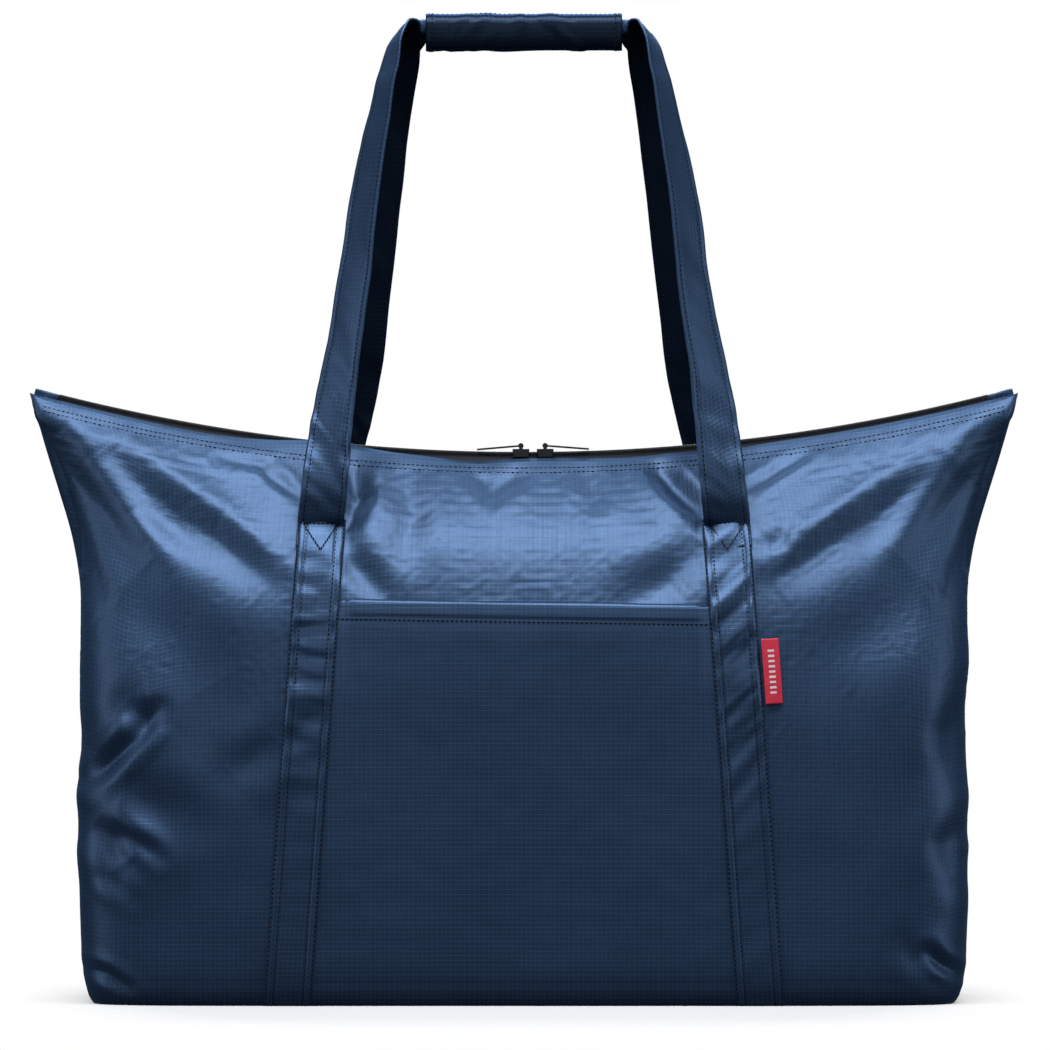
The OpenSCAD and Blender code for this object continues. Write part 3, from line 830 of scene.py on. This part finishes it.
def strap_skin(stations, seed, curl, rows=420, columns=24):
    line = curve_through([np.r_[place, wide / np.linalg.norm(wide), width * mm]
                          for place, wide, width in stations], rows + 1)
    centre = line[:, :3]
    forward = np.gradient(centre, axis=0)
    forward /= np.linalg.norm(forward, axis=1, keepdims=True)
    wide = line[:, 3:6]
    wide -= forward * (wide * forward).sum(axis=1, keepdims=True)
    wide /= np.linalg.norm(wide, axis=1, keepdims=True)
    face = np.cross(wide, forward)
    across = np.linspace(-0.5, 0.5, columns + 1)
    reach = across[None, :] * line[:, 6][:, None]
    in_grip = np.clip((79 * mm - np.abs(centre[:, 0])) / (14 * mm), 0, 1)[:, None]
    bend = in_grip * curl / (7.6 * mm) + 1e-6
    sheet = centre[:, None] + wide[:, None] * (np.sin(reach * bend) / bend)[:, :, None]
    sheet -= face[:, None] * ((1 - np.cos(reach * bend)) / bend)[:, :, None]
    edge = (0.5 - np.abs(across)) * strap_width
    rib = np.exp(-((edge - 1.5 * mm) / (1.2 * mm)) ** 2) * 0.4 * mm
    groove = np.exp(-((edge - 3.2 * mm) / (0.8 * mm)) ** 2) * 0.5 * mm
    slant = sheet.copy()
    slant[:, :, 2] += sheet[:, :, 0] * 0.8
    crease = ripple(slant, 24, seed, (1, 1, 0.7)) * 1.4 * mm
    loose = np.exp(-((centre[:, 2] - 350 * mm) / (45 * mm)) ** 2)[:, None]
    crease += ripple(slant, 11, seed + 2, (0.7, 0.7, 1.0)) * (0.25 + 1.5 * loose) * mm
    inside = np.clip((np.abs(centre[:, 0]) - 70 * mm) / (8 * mm), 0, 1)
    inside *= np.clip((centre[:, 2] - 312 * mm) / (12 * mm), 0, 1)
    sheet = sheet + face[:, None] * ((rib - groove)[None, :] + crease * inside[:, None])[:, :, None]
    return sheet, np.repeat(face[:, None], columns + 1, axis=1)


for name, leg, seed, turned in (("front_strap", front_leg, 51, False),
                                ("back_strap", back_leg, 57, True)):
    sheet, face = strap_skin(leg + mirrored(leg), seed, 0.0 if turned else 1.0)
    strap = cloth_mesh(f"{name}_cloth", sheet, thick=1.4, turned=turned)
    strap.modifiers["wall"].offset = 0
    strap.data.materials.append(strap_cloth)
    strap.data.materials.append(strap_shaded_side)
    # The solidified inner face takes the painted-shade copy of the strap cloth.
    strap.modifiers["wall"].material_offset = 1
    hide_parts(f"{name}_left_leg", f"{name}_right_leg", f"{name}_top")
    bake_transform(strap)
    places = []
    for column in (3, 21):
        for skin_side in (1, -1):
            edge_line = sheet[:, column] + face[:, column] * skin_side * 0.75 * mm
            for half in (slice(0, 205), slice(215, 421)):
                places += seam_places(edge_line[half], face[half, column] * skin_side)
    sewing = strewn(f"{name}_stitches", stitch, places)
    sewing.data.materials.append(thread_paint)
    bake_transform(sewing)

triangle_places = []
for side in (-1, 1):
    for back in (False, True):
        middle = side * float(band_middle(300 * mm))
        head = band_head - 2.5 * mm
        triangle = [(middle - 11.5 * mm, head), (middle + 11.5 * mm, head), (middle, head - 17 * mm),
                    (middle - 11.5 * mm, head)]
        for start, end in zip(triangle, triangle[1:]):
            line = [(start[0] + (end[0] - start[0]) * k / 8, start[1] + (end[1] - start[1]) * k / 8)
                    for k in range(9)]
            triangle_places += sewn_on_panel(line, 3.9 * mm, back, pitch=2.6)
finish_seam("strap_end_stitches", triangle_places)

# --- Grip wrap ---
# A rectangle of ripstop sewn to the back strap and wrapped round both straps. The wrap
# runs under the bundle and round behind; its flap comes over the top and down the front,
# and closes underneath on a strip of hook and loop.
wrap_length = grip_high.x - grip_low.x
wrap_radius = (grip_high.z - grip_low.z) / 2
# Painted shade: the wrap is the same ripstop at about a quarter of its colour and with less coat, a
# shaded copy that makes the grip read dark.
wrap_shaded_cloth = ripstop("ripstop_grip_painted_shade", tuple(c * 0.24 for c in navy), shine=0.28, coat=0.10)


def wrap_skin(first, last, inset, seed, rows=40, columns=120, wrinkle=0.5):
    """Part of a soft tube along the grip, from angle first to last as seen from the right."""
    sheet = np.zeros((rows + 1, columns + 1, 3))
    xs = np.linspace(-wrap_length / 2, wrap_length / 2, columns + 1)
    flare = 0.35 * mm * np.exp(-((np.abs(xs) - wrap_length / 2 + 3 * mm) / (3 * mm)) ** 2)
    radius = wrap_radius - inset * mm + flare
    for i, angle in enumerate(np.radians(np.linspace(first, last, rows + 1))):
        forward = math.copysign(abs(math.cos(angle)) ** 0.62, math.cos(angle))
        upward = math.copysign(abs(math.sin(angle)) ** 0.72, math.sin(angle))
        sheet[i] = np.stack([xs, radius * forward, grip_z + radius * upward], axis=1)
    slant = sheet.copy()
    slant[:, :, 0] += np.sin(sheet[:, :, 0] / (17 * mm)) * (sheet[:, :, 2] - grip_z)
    creases = ripple(slant, 21, seed, (1.0, 0.7, 0.5)) * wrinkle * mm
    creases += ripple(slant, 8, seed + 3, (1.0, 0.5, 0.5)) * wrinkle * 0.45 * mm
    creases = np.maximum(creases, -0.3 * mm)
    radial = sheet - np.array([0, 0, grip_z])
    radial[:, :, 0] = 0
    radial /= np.linalg.norm(radial, axis=2, keepdims=True)
    return sheet + radial * creases[:, :, None], radial


for name, node, first, last, inset, body in (
        ("grip_wrap_cloth", "grip_wrap", -168, 84, 2.2, "handle"),
        ("wrap_flap_cloth", "wrap_flap", 74, 262, 0.6, "wrap_flap")):
    sheet, radial = wrap_skin(first, last, inset, 61 if body == "handle" else 67,
                              wrinkle=0.25 if body == "handle" else 1.3)
    wrap = cloth_mesh(name, sheet, thick=0.8, turned=True)
    wrap.data.materials.append(wrap_shaded_cloth)
    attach(wrap, body)
    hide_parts(node)
    lifted = sheet + radial * 0.15 * mm
    places = []
    for column in (4, 116):
        places += seam_places(lifted[:, column], radial[:, column])
    for row in (3, 37):
        places += seam_places(lifted[row], radial[row])
    finish_seam(f"{name}_stitches", places, body)

# --- Hook and loop ---
# Two narrow strips of black tape, loop on the wrap and hook on the flap.
fuzz = finish_of("hook_and_loop_tape", (0.012, 0.020, 0.040), roughness=0.9)
ribbed(fuzz, textured(fuzz, "ShaderNodeTexNoise", 1400, "Object"), 0.4)
for node, first, last, inset, body in (("loop_strip", -168, -112, 1.35, "handle"),
                                       ("hook_strip", 198, 244, 1.30, "wrap_flap")):
    sheet, radial = wrap_skin(first, last, inset, 73, rows=12, columns=60, wrinkle=0.1)
    sheet[:, :, 0] *= 0.93
    strip = cloth_mesh(f"{node}_pile", sheet, thick=0.6, turned=True)
    strip.data.materials.append(fuzz)
    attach(strip, body)
    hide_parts(node)

# --- Top zip ---
# One coil zip runs from wing tip to wing tip: two woven tapes that lie against the
# panels' hems, and two rows of nylon coil that mesh on the ridge between them.
chain_end = coil_high.x
coil_pitch = 1.3 * mm
coil_paint = finish_of("nylon_coil", (0.020, 0.023, 0.030), coat_weight=1.0, coat_roughness=0.16)
worn(coil_paint, 700, 0.24, 0.46)


def coil_turn():
    """One turn of coil: a short rounded bar that stands on the tape and reaches the middle."""
    bm = bmesh.new()
    bmesh.ops.create_cube(bm, size=1)
    bmesh.ops.scale(bm, vec=(0.86 * mm, 2.55 * mm, 2.3 * mm), verts=bm.verts)
    bmesh.ops.bevel(bm, geom=bm.edges[:], offset=0.32 * mm, segments=1, affect="EDGES",
                    profile=0.5, material=-1)
    mesh = bpy.data.meshes.new("coil_turn")
    bm.to_mesh(mesh)
    bm.free()
    return mesh


def on_zip(x, y, up):
    """A place on the zip's arc, turned to lie along it."""
    lean = math.asin(x / zip_radius)
    reach = zip_radius - up
    spot = Vector((math.sin(lean) * reach, y, zip_centre - math.cos(lean) * reach))
    return Matrix.Translation(spot) @ Matrix.Rotation(-lean, 4, "Y")


turn = coil_turn()
for name, side in (("front", -1), ("back", 1)):
    count = int(2 * (chain_end + 0.6 * mm) / coil_pitch)
    places = [on_zip((k - count / 2 + 0.5 + 0.25 * side) * coil_pitch, side * 1.3 * mm, 1.2 * mm)
              for k in range(count)]
    coil = strewn(f"{name}_zip_coil_turns", turn, places)
    coil.data.materials.append(coil_paint)
    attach(coil, "bag")
    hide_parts(f"{name}_zip_coil")

tape_cloth = finish_of("zip_tape_weave", (0.010, 0.014, 0.024), roughness=0.75)
ribbed(tape_cloth, textured(tape_cloth, "ShaderNodeTexWave", 420, "UV", "DIAGONAL"), 0.08)
for name, side in (("front", -1), ("back", 1)):
    sheet = np.zeros((9, 301, 3))
    for i, v in enumerate(np.linspace(0, 1, 9)):
        for j, x in enumerate(np.linspace(-chain_end - 3 * mm, chain_end + 3 * mm, 301)):
            sheet[8 - i, j] = on_zip(x, side * (1.0 + 2.9 * v) * mm, (0.7 - 11.6 * v) * mm).translation
    tape = cloth_mesh(f"{name}_zip_tape_weave", sheet, thick=0.5, turned=side > 0)
    tape.data.materials.append(tape_cloth)
    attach(tape, "bag")
    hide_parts(f"{name}_zip_tape")

# --- Zip end tabs ---
# A scrap of ripstop folded over each end of the chain and bar-tacked through.
tab_places = []
for name, side in (("left", -1), ("right", 1)):
    low, high = box_of(f"{name}_zip_tab")
    bm = bmesh.new()
    bmesh.ops.create_cube(bm, size=1)
    bmesh.ops.scale(bm, vec=(16.6 * mm, 5.6 * mm, 9 * mm), verts=bm.verts)
    bmesh.ops.bevel(bm, geom=bm.edges[:], offset=0.9 * mm, segments=2, affect="EDGES",
                    profile=0.5, material=-1)
    long_edges = [edge for edge in bm.edges if edge.calc_length() > 4 * mm]
    bmesh.ops.subdivide_edges(bm, edges=long_edges, cuts=6, use_grid_fill=True)
    for vertex in bm.verts:
        pull = noise.noise(vertex.co * 180 + Vector((side, 0, 0)))
        vertex.co.y += pull * 0.5 * mm
        vertex.co.z += noise.noise(vertex.co * 140 + Vector((0, side, 3))) * 0.4 * mm
    middle = (low.x + high.x) / 2 + side * 0.8 * mm
    bmesh.ops.transform(bm, matrix=on_zip(middle, 0, -2.4 * mm), verts=bm.verts)
    mesh = bpy.data.meshes.new(f"{name}_zip_tab_cloth")
    layer = bm.loops.layers.uv.new("weave")
    for face in bm.faces:
        face.smooth = True
        for loop in face.loops:
            loop[layer].uv = (loop.vert.co.x, loop.vert.co.z)
    bm.to_mesh(mesh)
    bm.free()
    tab = placed(f"{name}_zip_tab_cloth", mesh)
    tab.data.materials.append(shell_cloth)
    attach(tab, "bag")
    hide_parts(f"{name}_zip_tab")
    for k in range(5):
        across = middle + (k - 2) * 1.6 * mm - side * 4 * mm
        for y in (-3.2 * mm, 3.2 * mm):
            spot = on_zip(across, y, -2 * mm) @ Matrix.Rotation(math.radians(20 * (-1) ** k), 4, "Y")
            tab_places.append(spot)
finish_seam("zip_tab_bar_tacks", tab_places)

# --- Base and inner seams ---
# The base is one panel of the same ripstop. Inside, the raw edges of the side seams and
# of the base seam stand up as narrow allowances bound in thin dark tape.
base_sheet = np.zeros((61, 121, 3))
for i, v in enumerate(np.linspace(-1, 1, 61)):
    half = (281 * (1 - min(1, abs(v)) ** 7.5 * 0.93) ** (1 / 7.5) - 1.2) * mm
    for j, u in enumerate(np.linspace(-1, 1, 121)):
        base_sheet[i, j] = (half * u, 96.2 * mm * v, 1.3 * mm)
base_sheet[:, :, 2] += 0.25 * mm * ripple(base_sheet, 30, 71)
base = cloth_mesh("base_cloth", base_sheet, thick=0.8)
base.data.materials.append(shell_cloth)
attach(base, "bag")
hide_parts("base_panel")
binding_tape = finish_of("binding_tape", (0.012, 0.018, 0.034), roughness=0.8)
ribbed(binding_tape, textured(binding_tape, "ShaderNodeTexWave", 500, "UV"), 0.08)


def finish_binding(name, sheet):
    binding = cloth_mesh(f"{name}_binding_tape", sheet, thick=1.6)
    binding.modifiers["wall"].offset = 0
    binding.data.materials.append(binding_tape)
    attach(binding, "bag")
    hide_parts(f"{name}_binding")


for name, side in (("left", -1), ("right", 1)):
    sheet = np.zeros((121, 7, 3))
    for i, t in enumerate(np.linspace(0.045, 0.855, 121)):
        half = float(shell_size(t)[0])
        for j, inward in enumerate(np.linspace(0, 8 * mm, 7)):
            sway = 0.7 * mm * noise.noise(Vector((t * 14, inward * 60, side)))
            sheet[i, j] = (side * (half - 3 * mm - inward), sway, t * float(zip_height(half) - edge_drop))
    finish_binding(f"{name}_side", sheet)
for name, side in (("front", -1), ("back", 1)):
    sheet = np.zeros((7, 161, 3))
    for i, up in enumerate(np.linspace(2.2 * mm, 9.6 * mm, 7)):
        for j, x in enumerate(np.linspace(-221 * mm, 221 * mm, 161)):
            sway = 0.5 * mm * noise.noise(Vector((x * 40, up * 60, side * 5)))
            sheet[i, j] = (x, side * 91 * mm + sway, up)
    finish_binding(f"{name}_base", sheet)

# --- Stow pouch ---
# A flat ripstop pouch hangs inside the back panel from its own taller back wall. The bag
# folds into it. It closes with a short coil zip like the top one.
pouch_low, pouch_high = box_of("stow_pouch")
pouch_zip_low, pouch_zip_high = box_of("stow_zip_coil")
pouch_mid = (pouch_zip_low.y + pouch_zip_high.y) / 2
pouch_half = pouch_high.x - 0.6 * mm
pouch_top = pouch_zip_low.z - 2.2 * mm
pouch_wall = (pouch_mid - pouch_low.y) - 0.4 * mm
pouch_sheet = np.zeros((71, 111, 3))
for i, turn_share in enumerate(np.linspace(0, 1, 71)):
    from_foot = abs(2 * turn_share - 1)
    height = (pouch_top - pouch_low.z - 1 * mm) * from_foot + pouch_low.z + 1 * mm
    across = math.copysign(pouch_wall, turn_share - 0.5) * min(1, from_foot * 9) ** 0.5
    if turn_share > 0.5:
        height += (pouch_high.z - pouch_top - 0.5 * mm) * from_foot
    for j, x in enumerate(np.linspace(-pouch_half, pouch_half, 111)):
        pinch = min(1, (pouch_half - abs(x)) / (5 * mm)) ** 0.5
        closed = 0.75 - 0.45 * from_foot
        pouch_sheet[i, j] = (x, pouch_mid + across * (1 - closed + closed * pinch), height)
pouch_sheet += outward(pouch_sheet) * (0.2 * mm * ripple(pouch_sheet, 24, 81))[:, :, None]
pouch = cloth_mesh("stow_pouch_cloth", pouch_sheet[::-1], thick=0.6)
pouch.data.materials.append(shell_cloth)
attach(pouch, "bag")
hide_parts("stow_pouch")
pouch_chain = pouch_zip_high.x - 0.5 * mm
for name, side in (("front", -1), ("back", 1)):
    sheet = np.zeros((5, 81, 3))
    for i, v in enumerate(np.linspace(0, 1, 5)):
        for j, x in enumerate(np.linspace(-pouch_chain, pouch_chain, 81)):
            across = side * (1.0 + 1.5 * v) * mm
            sheet[4 - i, j] = (x, pouch_mid + across, pouch_zip_low.z + (0.7 - 11.2 * v) * mm)
    tape = cloth_mesh(f"stow_{name}_tape_weave", sheet, thick=0.5, turned=side > 0)
    tape.data.materials.append(tape_cloth)
    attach(tape, "bag")
    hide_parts("stow_zip_tape")
places = []
for k in range(int(2 * pouch_chain / coil_pitch) - 1):
    for side in (-1, 1):
        x = -pouch_chain + (k + 0.75 + 0.25 * side) * coil_pitch
        places.append(Matrix.Translation((x, pouch_mid + side * 1.3 * mm, pouch_zip_low.z + 1.2 * mm)))
pouch_coil = strewn("stow_zip_coil_turns", turn, places)
pouch_coil.data.materials.append(coil_paint)
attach(pouch_coil, "bag")
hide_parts("stow_zip_coil")

# --- Side label ---
# A folded woven label, crimson with a plain row of pale woven bars, is caught in the outer
# seam of the right band and stands free to the right.
label_turn = Matrix.Rotation(math.radians(-4), 3, "Y") @ Matrix.Rotation(math.radians(-4.7), 3, "X")
label_turn = np.array(label_turn @ Matrix.Rotation(math.radians(14), 3, "Z"))
label_sheet = np.zeros((49, 15, 3))
label_sheet[:, :, 0] = np.linspace(0.4, 11.8, 15)[None, :] * mm
label_sheet[:, :, 2] = np.linspace(0, 42.5, 49)[:, None] * mm
label_sheet = label_sheet @ label_turn.T + np.array([156.2, -97, 195]) * mm
label_face = outward(label_sheet)
bow = np.sin(np.linspace(0, np.pi, 49))[:, None] * np.linspace(0, 1, 15)[None, :] * 0.5 * mm
label_sheet += label_face * (bow + 0.12 * mm * ripple(label_sheet, 5, 91))[:, :, None]
label = cloth_mesh("side_label_weave", label_sheet, thick=0.7)
label.modifiers["wall"].offset = 0
crimson = finish_of("woven_label", (0.62, 0.008, 0.045), roughness=0.55, sheen_weight=0.1)
crimson_nodes, crimson_links = crimson.node_tree.nodes, crimson.node_tree.links
label_math = sums_in(crimson)
crimson_split = crimson_nodes.new("ShaderNodeSeparateXYZ")
crimson_links.new(crimson_nodes.new("ShaderNodeTexCoord").outputs["UV"], crimson_split.inputs[0])
label_across, label_up = crimson_split.outputs[0], crimson_split.outputs[1]
bar_across = label_math("LESS_THAN", label_math("ABSOLUTE", label_across), 2.1 * mm)
bar_along = label_math("LESS_THAN", label_math("FRACT", label_math("DIVIDE", label_up, 3.4 * mm)), 0.42)
bar_low = label_math("GREATER_THAN", label_up, 6.8 * mm)
bar_high = label_math("LESS_THAN", label_up, 36 * mm)
bar_row = label_math("MULTIPLY", bar_low, bar_high)
bar = label_math("MULTIPLY", label_math("MULTIPLY", bar_across, bar_along), bar_row)
label_mix = crimson_nodes.new("ShaderNodeMix")
label_mix.data_type = "RGBA"
label_mix.inputs["A"].default_value = (0.62, 0.008, 0.045, 1)
label_mix.inputs["B"].default_value = (0.72, 0.68, 0.70, 1)
crimson_links.new(bar, label_mix.inputs["Factor"])
crimson_links.new(label_mix.outputs["Result"], crimson_nodes["Principled BSDF"].inputs["Base Color"])
ribbed(crimson, textured(crimson, "ShaderNodeTexWave", 600, "UV", "Y"), 0.06)
label.data.materials.append(crimson)
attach(label, "side_label")
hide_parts("side_label")

# --- Sliders and pulls ---
# Black lacquered zinc castings: a slider with a bridge on its back, and a slim open
# frame for a pull that hangs on the bridge's crossbar. The pouch's zip has the same.
lacquer = finish_of("black_lacquer", (0.022, 0.024, 0.030), metallic=0.5,
                    coat_weight=1.0, coat_roughness=0.15)
worn(lacquer, 350, 0.20, 0.42)
for node in ("left_slider", "right_slider", "stow_slider", "left_pull", "right_pull", "stow_pull"):
    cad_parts[node].data.materials.clear()
    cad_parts[node].data.materials.append(lacquer)
